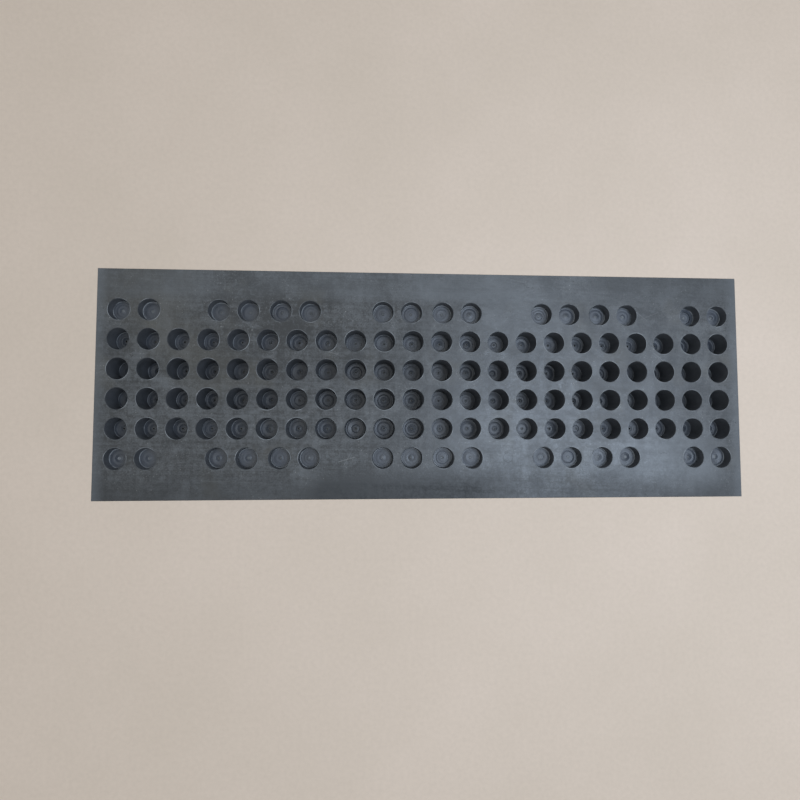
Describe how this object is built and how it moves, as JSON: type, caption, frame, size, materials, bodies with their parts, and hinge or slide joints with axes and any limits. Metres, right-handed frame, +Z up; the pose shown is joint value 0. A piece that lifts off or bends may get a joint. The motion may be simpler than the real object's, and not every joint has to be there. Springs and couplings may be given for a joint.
{
  "type": "rubber speed bump",
  "caption": "Straight module of an arched rubber speed bump: pocketed underside, black and yellow blocks, bolt holes and slope reflectors.",
  "frame": {"origin": "centre of the underside, on the road surface", "axes": "+X along the bump, across the traffic lane; +Y across the bump, the way that traffic crosses it; +Z up, from the road to the crown"},
  "size_m": [1, 0.35, 0.05],
  "materials": {
    "black_rubber": "moulded recycled rubber, satin, dusty",
    "yellow_rubber": "moulded coloured rubber, satin",
    "housing_plastic": "moulded, satin",
    "lens_plastic": "clear amber, prismatic"
  },
  "bodies": {
    "root": {"rubber_body": "black_rubber", "yellow_skin_1": "yellow_rubber", "yellow_skin_2": "yellow_rubber", "reflector_housing_1_near": "housing_plastic", "reflector_lens_1_near": "lens_plastic", "reflector_housing_1_far": "housing_plastic", "reflector_lens_1_far": "lens_plastic", "reflector_housing_2_near": "housing_plastic", "reflector_lens_2_near": "lens_plastic", "reflector_housing_2_far": "housing_plastic", "reflector_lens_2_far": "lens_plastic", "reflector_housing_3_near": "housing_plastic", "reflector_lens_3_near": "lens_plastic", "reflector_housing_3_far": "housing_plastic", "reflector_lens_3_far": "lens_plastic", "reflector_housing_4_near": "housing_plastic", "reflector_lens_4_near": "lens_plastic", "reflector_housing_4_far": "housing_plastic", "reflector_lens_4_far": "lens_plastic"}
  },
  "joints": []
}
